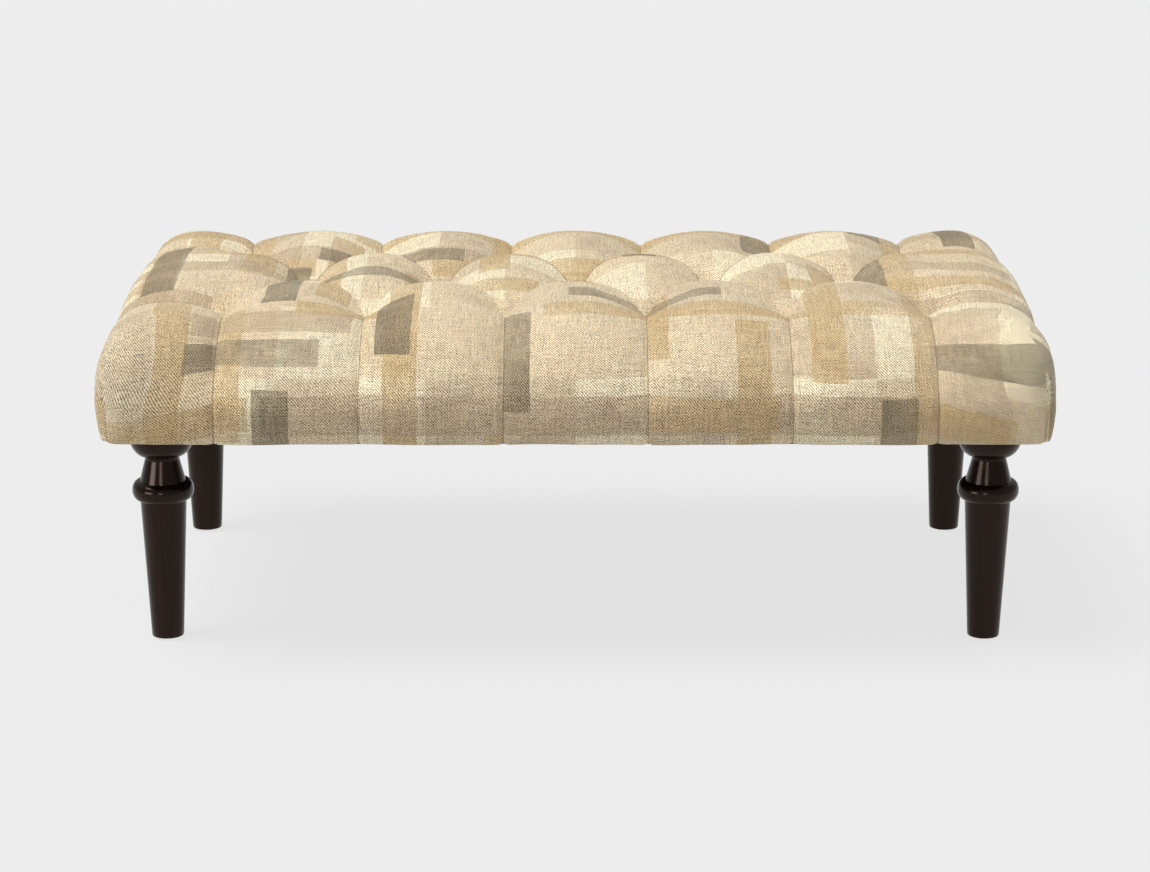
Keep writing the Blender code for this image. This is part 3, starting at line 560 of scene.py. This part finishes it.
def cloth_place(flat, centres):
    """Place on the flat cloth, in metres, for grid points that belong to faces with these centres."""
    x, y, past_x, past_y, lower, hem = cover_grid.shares(flat[:, 0], flat[:, 1], -flat[:, 2])
    turn = np.maximum(past_x, past_y)
    share = np.minimum(past_x, past_y) / np.maximum(turn, TINY)
    station = turn + lower + hem
    front_run = np.interp(station, *FRONT_LENGTH)
    end_run = np.interp(station, *END_LENGTH)
    cx, cy, centre_x, centre_y, _, _ = cover_grid.shares(centres[:, 0], centres[:, 1], -centres[:, 2])
    front = centre_y >= centre_x
    side_x = np.sign(centres[:, 0])
    side_y = np.sign(centres[:, 1])
    loose = np.clip((station - LOOSE_START) / (1 - LOOSE_START), 0, 1)
    walk_x = END_MARGIN - CORNER_SAVING * CORNER_RADIUS
    walk_y = FRONT_MARGIN - CORNER_SAVING * CORNER_RADIUS
    along_x = share * (end_run + (np.minimum(walk_x, end_run) - end_run) * loose)
    along_y = share * (front_run + (np.minimum(walk_y, front_run) - front_run) * loose)
    u_past = np.where(front, along_x, end_run - CORNER_DROOP * loose * along_y)
    v_past = np.where(front, front_run - CORNER_DROOP * loose * along_x, along_y)
    u = x + side_x * np.where(past_x > 0, u_past, 0.0)
    v = y + side_y * np.where(past_y > 0, v_past, 0.0)
    nudge = SAME * np.sign(cy) * (centre_y > 0)
    rising, falling = cover_grid.diagonals(cx, cy)
    first = np.floor(rising - nudge)
    second = np.floor(falling + nudge)
    corner = (centre_x > 0) & (centre_y > 0)
    u_fold = np.where(corner, CORNER_SHIFT[0] * side_x, (first + second) / 2 - 2.5)
    v_fold = np.where(corner, CORNER_SHIFT[1] * side_y, first - second)
    return u + TAKE_UP * u_fold, v + TAKE_UP * v_fold


bm = cover_grid.sheet(cover_grid.side + cover_grid.hem)
bm.verts.ensure_lookup_table()
flat = np.array([vert.co for vert in bm.verts])
uv_layer = bm.loops.layers.uv.new("cloth")
loops = [loop for face in bm.faces for loop in face.loops]
loop_flat = np.array([loop.vert.co for loop in loops])
loop_centres = np.repeat(np.array([face.calc_center_median() for face in bm.faces]),
                         [len(face.loops) for face in bm.faces], axis=0)
for loop, u, v in zip(loops, *cloth_place(loop_flat, loop_centres)):
    loop[uv_layer].uv = (u, v)

cover_grid.lay(bm)
_, _, past_x, past_y, lower, hem = cover_grid.shares(flat[:, 0], flat[:, 1], -flat[:, 2])
on_pleat, on_held_pleat = cover_grid.on_pleats(flat)
on_near_pleat = on_pleat & (flat[:, 1] < 0) & (past_x == 0) & (past_y == 0)
on_corner_fold = (past_x > 0) & (np.abs(past_x - past_y) < SAME)
on_hem = (lower == 1) & (hem == 0)
crease = bm.edges.layers.float.new("crease_edge")
for edge in bm.edges:
    ends = [vert.index for vert in edge.verts]
    if on_pleat[ends].all() and past_y[ends].max() > 0:
        edge[crease] = EDGE_PLEAT_CREASE
    elif on_pleat[ends].all():
        edge[crease] = NEAR_PLEAT_CREASE if on_near_pleat[ends].any() else TOP_PLEAT_CREASE
    elif on_corner_fold[ends].all() and past_x[ends].min() > CORNER_CREASE_START:
        edge[crease] = HEM_CREASE
    elif on_hem[ends].all():
        edge[crease] = HEM_CREASE

# The fold layer holds painted shade: a dark line painted along each pleat and corner fold, where shade falls
# in the fold.
fold = bm.verts.layers.float.new("fold")
pleat_painted_shade = on_pleat * np.where(on_near_pleat, NEAR_PLEAT_PAINTED_SHADE, 1.0)
corner_painted_shade = np.clip(past_x + lower - CORNER_PAINTED_SHADE_START, 0, 1)
painted_fold_shade = np.where(on_corner_fold, corner_painted_shade, pleat_painted_shade)
points = np.array([vert.co for vert in bm.verts])
normals = np.array([vert.normal for vert in bm.verts])
ripple = np.sin(points[:, 0] * 61 + 1.3) * np.sin(points[:, 1] * 47 + 0.4)
swirl = ripple + np.sin(points @ (23.0, 37.0, 41.0))
points += normals * (UNEVENNESS * swirl * (hem == 0))[:, None]
for vert, point, dark in zip(bm.verts, points, painted_fold_shade):
    vert.co = point
    vert[fold] = dark

CREAM = (0.87, 0.755, 0.525, 1)
SAND = (0.71, 0.567, 0.368, 1)
ROSE_BEIGE = (0.54, 0.414, 0.264, 1)
OCHRE = (0.577, 0.413, 0.205, 1)
TAUPE = (0.225, 0.180, 0.111, 1)
# Painted shade: a dark colour painted into the pleats and corner folds, from the fold layer past a start and
# at a gain.
PAINTED_CREASE_SHADE = (0.16, 0.12, 0.08, 1)
PAINTED_SHADE_START = 0.78
PAINTED_SHADE_GAIN = 3.2
WARP = (60.0, 480.0, 1.0)
WEFT = (480.0, 60.0, 1.0)
LONG_WARP = (22.0, 300.0, 1.0)
LONG_WEFT = (300.0, 22.0, 1.0)
TWILL_PITCH = 0.0037
WANDER = 0.004
YARN_WEIGHT = 0.8
SLUB_WEIGHT = 0.9
SPECK_WEIGHT = 2.0
TWILL_WEIGHT = 0.48
MEAN_TONE = 0.97
UNEVEN_DYE = 0.9
YARN_UNDER_INK = 0.15
PATCHES_PER_METRE = (9.1, 7.7)
SAND_PATCHES = 0.62
SAND_STRENGTH = 0.75
ROSE_PATCHES = 0.2
ROSE_STRENGTH = 0.6
# The way bars run, their offset, pitch, width and length, the share of them printed, seed, ink and strength.
BARS = (
    ("down", 0.147, 0.127, 0.043, 0.21, 0.56, 30.0, OCHRE, 0.72),
    ("across", 0.040, 0.139, 0.047, 0.26, 0.45, 45.0, ROSE_BEIGE, 0.70),
    ("across", 0.110, 0.171, 0.040, 0.19, 0.42, 14.0, OCHRE, 0.66),
    ("down", 0.103, 0.183, 0.046, 0.16, 0.33, 59.0, TAUPE, 0.74),
    ("across", 0.060, 0.157, 0.042, 0.23, 0.34, 21.0, TAUPE, 0.62),
)

linen, surface, shade = finish("printed_linen_twill", Roughness=0.92, Sheen_Weight=0.15,
                               Specular_IOR_Level=0.2)
place = shade.make("UVMap", {"uv_map": "cloth"})
u = shade.make("SeparateXYZ", sockets={"Vector": place})
v = Shade(shade.tree, u.socket.node.outputs[1])


def chance(*parts):
    """A fixed random number for whole numbers, from 0 to 1."""
    vector = shade.make("CombineXYZ", sockets=dict(enumerate(parts)))
    return shade.make("TexWhiteNoise", {"noise_dimensions": "3D"}, {"Vector": vector})


def threads(stretch):
    """Slubs of uneven yarn along one way of the cloth, about 0."""
    turned = shade.make("Mapping", sockets={"Vector": place, "Scale": stretch})
    noise = {"Vector": turned, "Scale": 1.0, "Detail": 4.0, "Roughness": 0.75}
    return shade.make("TexNoise", sockets=noise) - 0.5


def mottle(fineness, detail):
    """Uneven tone that runs no way of the cloth, about 0."""
    return shade.make("TexNoise", sockets={"Vector": place, "Scale": fineness, "Detail": detail}) - 0.5


def bars(across, along, pitch, width, length, amount, seed):
    """Broken bars of one width on evenly spaced lines."""
    line = (across * (1 / pitch)).floor()
    offset = chance(line, seed)
    part = (along * (1 / length) + offset * 7.0).floor()
    inside = (across * (1 / pitch) - line) < width / pitch
    return inside * (chance(line, part, seed + 3.0) < amount)


warp = threads(WARP)
weft = threads(WEFT)
dye = mottle(9.0, 3.0)
u = u + weft * WANDER
v = v + warp * WANDER
twill = ((u + v) * (2 * math.pi / TWILL_PITCH)).sine()
speck = mottle(560.0, 1.0)
slub = threads(LONG_WEFT) + threads(LONG_WARP)
thread = (warp + weft) * YARN_WEIGHT + slub * SLUB_WEIGHT + speck * SPECK_WEIGHT + twill * TWILL_WEIGHT

patch = chance((u * PATCHES_PER_METRE[0]).floor(), (v * PATCHES_PER_METRE[1]).floor(), 1.0)
uneven = dye * UNEVEN_DYE
colour = ((patch > SAND_PATCHES) * SAND_STRENGTH + uneven).tint(CREAM, SAND)
colour = ((patch < ROSE_PATCHES) * (ROSE_STRENGTH + uneven)).tint(colour, ROSE_BEIGE)
for way, offset, pitch, width, length, amount, seed, ink, strength in BARS:
    across, along = (u, v) if way == "down" else (v, u)
    printed = bars(across + offset, along, pitch, width, length, amount, seed)
    colour = (printed * (strength + uneven - thread * YARN_UNDER_INK)).tint(colour, ink)

woven = {0: 1.0, 6: colour, 7: MEAN_TONE + thread}
colour = shade.make("Mix", {"data_type": "RGBA", "blend_type": "MULTIPLY"}, woven, out=2)
# Painted shade: the base colour is darkened along the pleats and corner folds as the fold layer rises past
# its start.
painted_shade_amount = shade.make("Attribute", {"attribute_name": "fold"}, out="Fac")
((painted_shade_amount - PAINTED_SHADE_START) * PAINTED_SHADE_GAIN).tint(colour, PAINTED_CREASE_SHADE).to(surface, "Base Color")
relief(thread, 0.32, 0.0006).to(surface, "Normal")

STUFFING_FRAMES = 20
FOLD_HELD_FROM = 0.7
MOST_SLIDE = 0.003
MOST_SINK = 0.0004
MOST_SWELL = 0.004

cover = new_piece("tufted_seat_cover", bm, linen)
bpy.ops.object.select_all(action="DESELECT")
bpy.context.view_layer.objects.active = cover
held = on_held_pleat | (on_corner_fold & (past_x + lower > FOLD_HELD_FROM)) | (lower == 1)
tied = cover.vertex_groups.new(name="tied")
tied.add(np.flatnonzero(held).tolist(), 1.0, "REPLACE")
stuffing = cover.modifiers.new("stuffing", "CLOTH")
cloth = stuffing.settings
cloth.vertex_group_mass = tied.name
cloth.quality = 6
cloth.mass = 0.01
cloth.tension_stiffness = 30.0
cloth.compression_stiffness = 30.0
cloth.shear_stiffness = 10.0
cloth.bending_stiffness = 0.05
cloth.use_pressure = True
cloth.uniform_pressure_force = 4.0
cloth.shrink_min = -0.010
cloth.effector_weights.gravity = 0.0
stuffing.collision_settings.use_collision = False
stuffing.point_cache.frame_start = 1
stuffing.point_cache.frame_end = STUFFING_FRAMES
for moment in range(1, STUFFING_FRAMES + 1):
    bpy.context.scene.frame_set(moment)
bpy.ops.object.modifier_apply(modifier=stuffing.name)
bpy.context.scene.frame_set(1)
swollen = np.array([vert.co for vert in cover.data.vertices])
swell = np.sum((swollen - points) * normals, axis=1)
slide = swollen - points - normals * swell[:, None]
reach = np.linalg.norm(slide, axis=1)
slide *= (np.minimum(reach, MOST_SLIDE) / np.maximum(reach, TINY))[:, None]
eased = points + normals * np.clip(swell, -MOST_SINK, MOST_SWELL)[:, None] + slide
for vert, point in zip(cover.data.vertices, eased):
    vert.co = point
smooth = cover.modifiers.new("smooth", "SUBSURF")
smooth.levels = 1
smooth.render_levels = 1
bpy.ops.object.modifier_apply(modifier=smooth.name)
lining = cover_grid.sheet(cover_grid.side + cover_grid.hem)
lining.verts.ensure_lookup_table()
for number, vert in enumerate(lining.verts):
    vert.co = cover.data.vertices[number].co
lining.normal_update()
inside = [vert.co - vert.normal * COVER_THICKNESS for vert in lining.verts]
for vert, point in zip(lining.verts, inside):
    vert.co = point
shell = bmesh.new()
shell.from_mesh(cover.data)
soft_shell(shell, lining).to_mesh(cover.data)
shell.free()
cover.data.shade_smooth()
settle(cover, "printed_linen", "seat_cover")

# Dust cover: a black non-woven sheet that closes the underside.
# It is stapled to the rails inside the turned edge of the cover, and the leg bolts pierce it.
DUST_HALF = (0.585, 0.342)
DUST_TOP = 0.2927
DUST_THICKNESS = 0.0008
DUST_CORNER = 0.030
DUST_STEP = 0.0115
BOLT_HOLE = 0.009
LEG_X = 0.537
LEG_Y = 0.241

non_woven, surface, shade = finish("black_non_woven", Roughness=0.95, Specular_IOR_Level=0.15)
place = shade.make("TexCoord", out="Object")
fibres = shade.make("TexNoise", sockets={"Vector": place, "Scale": 350.0, "Detail": 4.0, "Distortion": 2.0})
fibres.tint((0.012, 0.012, 0.013, 1), (0.034, 0.034, 0.036, 1)).to(surface, "Base Color")
relief(fibres, 0.4, 0.0004).to(surface, "Normal")


def at_bolt(face):
    """Whether a leg bolt goes through this part of the sheet."""
    centre = face.calc_center_median()
    return math.hypot(abs(centre.x) - LEG_X, abs(centre.y) - LEG_Y) < BOLT_HOLE


bpy.ops.object.select_all(action="DESELECT")
bpy.ops.mesh.primitive_grid_add(x_subdivisions=round(2 * DUST_HALF[0] / DUST_STEP),
                                y_subdivisions=round(2 * DUST_HALF[1] / DUST_STEP), size=2.0)
dust = bpy.context.object
dust.name = "underside_dust_cover"
bm = bmesh.new()
bm.from_mesh(dust.data)
for vert in bm.verts:
    x, y = vert.co.x * DUST_HALF[0], vert.co.y * DUST_HALF[1]
    past_x = max(abs(x) - DUST_HALF[0] + DUST_CORNER, 0.0)
    past_y = max(abs(y) - DUST_HALF[1] + DUST_CORNER, 0.0)
    reach = math.hypot(past_x, past_y)
    if min(past_x, past_y) > 0:
        pull = max(past_x, past_y) / reach
        x -= math.copysign(past_x * (1 - pull), x)
        y -= math.copysign(past_y * (1 - pull), y)
    vert.co = (x, y, DUST_TOP)
bmesh.ops.delete(bm, geom=[face for face in bm.faces if at_bolt(face)], context="FACES")
bmesh.ops.solidify(bm, geom=bm.faces, thickness=DUST_THICKNESS)
bmesh.ops.recalc_face_normals(bm, faces=bm.faces)
bm.to_mesh(dust.data)
bm.free()
lowest = min(vert.co.z for vert in dust.data.vertices)
for vert in dust.data.vertices:
    vert.co.z += DUST_TOP - DUST_THICKNESS - lowest
dust.data.materials.append(non_woven)
settle(dust, "black_non_woven", "dust_cover")

# Legs: turned hardwood with a bowl, a flared neck, a ring and a tapered shaft, stained espresso.
# They are lacquered to a satin gloss and turn onto the hanger bolts.
LEG_TOP = 0.2916
LEG_BOTTOM = 0.0033
CAP_RADIUS = 0.0425
BOWL_RIM = 0.2790
BOWL_FLOOR = 0.2487
NECK_RADIUS = 0.0215
CONE_RADIUS = 0.0297
RING_TOP = 0.2155
RING_RADIUS = 0.0400
RING_HALF = 0.0126
SHAFT_RADIUS = 0.0299
FOOT_RADIUS = 0.0210
RING_FLATNESS = 0.8
LEG_EASE = 0.0015
EASE_IN = 0.0004
EASE_DOWN = 0.0005
COVE = 0.0012
COVE_STEPS = 5
BOWL_STEPS = 18
CONE_STEPS = 7
RING_STEPS = 24
SHAFT_STEPS = 20
BOLT_BORE = 0.0043
NAIL_BORE = 0.0016
LEG_FACETS = 64


def cove(radius, top):
    """Points of a small hollow that leads down from a turned shoulder to a round of this radius."""
    angles = [math.pi / 2 * step / COVE_STEPS for step in range(COVE_STEPS + 1)]
    return [(radius + COVE * (1 - math.sin(angle)), top - COVE * (1 - math.cos(angle))) for angle in angles]


profile = [(BOLT_BORE, LEG_TOP), (CAP_RADIUS - LEG_EASE, LEG_TOP),
           (CAP_RADIUS - EASE_IN, LEG_TOP - EASE_DOWN), (CAP_RADIUS, LEG_TOP - LEG_EASE),
           (CAP_RADIUS, BOWL_RIM)]
for step in range(1, BOWL_STEPS):
    angle = math.pi / 2 * step / BOWL_STEPS
    profile.append((NECK_RADIUS + (CAP_RADIUS - NECK_RADIUS) * math.cos(angle),
                    BOWL_RIM - (BOWL_RIM - BOWL_FLOOR) * math.sin(angle)))
profile += cove(NECK_RADIUS, BOWL_FLOOR)
for step in range(1, CONE_STEPS + 1):
    share = step / CONE_STEPS
    profile.append((NECK_RADIUS + (CONE_RADIUS - NECK_RADIUS) * share,
                    BOWL_FLOOR - COVE + (RING_TOP - BOWL_FLOOR + COVE) * share))
for step in range(1, RING_STEPS):
    angle = math.pi * (0.5 - step / RING_STEPS)
    seat = CONE_RADIUS + (SHAFT_RADIUS - CONE_RADIUS) * step / RING_STEPS
    profile.append((seat + (RING_RADIUS - seat) * math.cos(angle) ** RING_FLATNESS,
                    RING_TOP - RING_HALF + RING_HALF * math.sin(angle)))
ring_foot = RING_TOP - 2 * RING_HALF
profile += cove(SHAFT_RADIUS, ring_foot)
for step in range(1, SHAFT_STEPS + 1):
    share = step / SHAFT_STEPS
    profile.append((SHAFT_RADIUS + (FOOT_RADIUS - SHAFT_RADIUS) * share,
                    ring_foot - COVE + (LEG_BOTTOM + LEG_EASE - ring_foot + COVE) * share))
profile += [(FOOT_RADIUS - EASE_IN, LEG_BOTTOM + EASE_IN), (FOOT_RADIUS - LEG_EASE, LEG_BOTTOM),
            (NAIL_BORE, LEG_BOTTOM)]


def turn_on_lathe(name, profile, axis, facets):
    """A turned piece: a circle is drawn out ring by ring down the profile, and its ends are closed."""
    bpy.ops.object.select_all(action="DESELECT")
    start_radius, start_height = profile[0]
    bpy.ops.mesh.primitive_circle_add(vertices=facets, radius=start_radius, location=(*axis, start_height))
    piece = bpy.context.object
    piece.name = name
    bpy.ops.object.transform_apply(location=True)
    bpy.ops.object.mode_set(mode="EDIT")
    bpy.ops.mesh.select_all(action="SELECT")
    bpy.ops.mesh.edge_face_add()
    bpy.ops.mesh.select_mode(type="EDGE")
    bpy.ops.mesh.region_to_loop()
    for (radius, height), (next_radius, next_height) in zip(profile, profile[1:]):
        bpy.ops.mesh.extrude_edges_move(TRANSFORM_OT_translate={"value": (0, 0, next_height - height)})
        scale = next_radius / radius
        bpy.ops.transform.resize(value=(scale, scale, 1), center_override=(*axis, next_height))
    bpy.ops.mesh.edge_face_add()
    bpy.ops.mesh.select_all(action="SELECT")
    bpy.ops.mesh.normals_make_consistent(inside=False)
    bpy.ops.object.mode_set(mode="OBJECT")
    bpy.ops.object.shade_smooth_by_angle(angle=math.radians(38))
    return piece


STAIN_DARK = (0.003, 0.0015, 0.001, 1)
STAIN_LIGHT = (0.021, 0.0105, 0.0078, 1)
espresso, surface, shade = finish("espresso_stain", Specular_IOR_Level=0.24,
                                  Specular_Tint=(1.0, 0.72, 0.6, 1))
fibre_lines = grain(shade, (1.0, 1.0, 0.035), 330.0)
broad = grain(shade, (1.0, 1.0, 0.09), 45.0)
stain = fibre_lines * 0.65 + broad * 0.35
((stain - 0.36) * 3.2).tint(STAIN_DARK, STAIN_LIGHT).to(surface, "Base Color")
(0.13 + fibre_lines * 0.10).to(surface, "Roughness")
relief(fibre_lines, 0.12, 0.0003).to(surface, "Normal")

for side, side_sign in SIDES.items():
    for end, end_sign in ENDS.items():
        axis = (end_sign * LEG_X, side_sign * LEG_Y)
        leg = turn_on_lathe(f"turned_{side}_{end}_leg", profile, axis, LEG_FACETS)
        leg.data.materials.append(espresso)
        settle(leg, "espresso_stain", f"{side}_{end}_leg")

# Glides: moulded nylon buttons nailed under the feet.
# They keep the end grain of the legs off the floor.
nylon, surface, shade = finish("glide_nylon", Roughness=0.5)
place = shade.make("TexCoord", out="Object")
scuff = shade.make("TexNoise", sockets={"Vector": place, "Scale": 300.0, "Detail": 4.0})
scuff.tint((0.07, 0.055, 0.05, 1), (0.13, 0.11, 0.10, 1)).to(surface, "Base Color")
(0.4 + scuff * 0.25).to(surface, "Roughness")
dress(nylon, *[f"{corner}_glide" for corner in CORNERS])

# Studio: a wide pale floor that keeps a faint shadow, under an even light and a broad sun from the left.
# Two softboxes, at the left and beside the camera, show only in reflections, as on the lacquered legs.
FLOOR_SEEN = (0.88, 0.88, 0.88, 1)
FLOOR_LIT = (0.62, 0.62, 0.62, 1)
FLOOR_GLOW = 0.84
EVEN_LIGHT = 0.39
AIM = Vector((0.0, 0.0, 0.25))
SUN_PLACE = (-2.0, -0.6, 4.6)
SUN_POWER = 2.50
SUN_SPREAD = math.radians(35)
SOFTBOXES = (
    ("softbox_left", (-3.4, -2.7, 0.75), 36.0, 1.8, 0.6),
    ("softbox_camera", (-0.8, -4.6, 0.95), 17.0, 0.9, 0.6),
)
CAMERA_PLACE = (-0.0008, -4.3488, 1.4203)
CAMERA_TILT = math.radians(74.4094)
CAMERA_LENS = 102.99
CAMERA_SENSOR = 36.0

bpy.ops.object.select_all(action="DESELECT")
bpy.ops.mesh.primitive_plane_add(size=60.0)
floor = bpy.context.object
floor.name = "studio_floor"
pale, diffuse, shade = finish("studio_floor", Base_Color=FLOOR_LIT, Roughness=1.0, Specular_IOR_Level=0.0)
output = pale.node_tree.nodes["Material Output"]
glow = shade.make("Emission", sockets={"Color": FLOOR_SEEN, "Strength": 1.0})
camera_ray = shade.make("LightPath", out="Is Camera Ray")
glossy_ray, transmission_ray = (Shade(shade.tree, camera_ray.socket.node.outputs[ray])
                                for ray in ("Is Glossy Ray", "Is Transmission Ray"))
seen = (camera_ray + glossy_ray + transmission_ray) * FLOOR_GLOW
mixed = shade.make("MixShader", sockets={0: seen, 1: Shade(shade.tree, diffuse.outputs[0]), 2: glow})
mixed.to(output, "Surface")
floor.data.materials.append(pale)

world = bpy.data.worlds.new("studio")
bpy.context.scene.world = world
world.use_nodes = True
background = world.node_tree.nodes["Background"]
background.inputs["Color"].default_value = (1.0, 1.0, 1.0, 1)
background.inputs["Strength"].default_value = EVEN_LIGHT


def lamp(name, kind, place, power):
    """A lamp turned towards the stool, out of the camera's sight."""
    light = bpy.data.objects.new(name, bpy.data.lights.new(name, kind))
    light.data.energy = power
    light.location = place
    light.rotation_euler = (AIM - light.location).to_track_quat("-Z", "Y").to_euler()
    light.visible_camera = False
    bpy.context.scene.collection.objects.link(light)
    return light


lamp("overhead_left", "SUN", SUN_PLACE, SUN_POWER).data.angle = SUN_SPREAD
for name, place, power, width, height in SOFTBOXES:
    softbox = lamp(name, "AREA", place, power)
    softbox.data.shape = "RECTANGLE"
    softbox.data.size = width
    softbox.data.size_y = height
    softbox.visible_diffuse = False

camera = bpy.data.objects.new("camera", bpy.data.cameras.new("camera"))
bpy.context.scene.collection.objects.link(camera)
camera.data.sensor_width = CAMERA_SENSOR
camera.data.lens = CAMERA_LENS
camera.location = CAMERA_PLACE
camera.rotation_euler = (CAMERA_TILT, 0.0, 0.0)
bpy.context.scene.camera = camera
bpy.context.scene.view_settings.view_transform = "Standard"
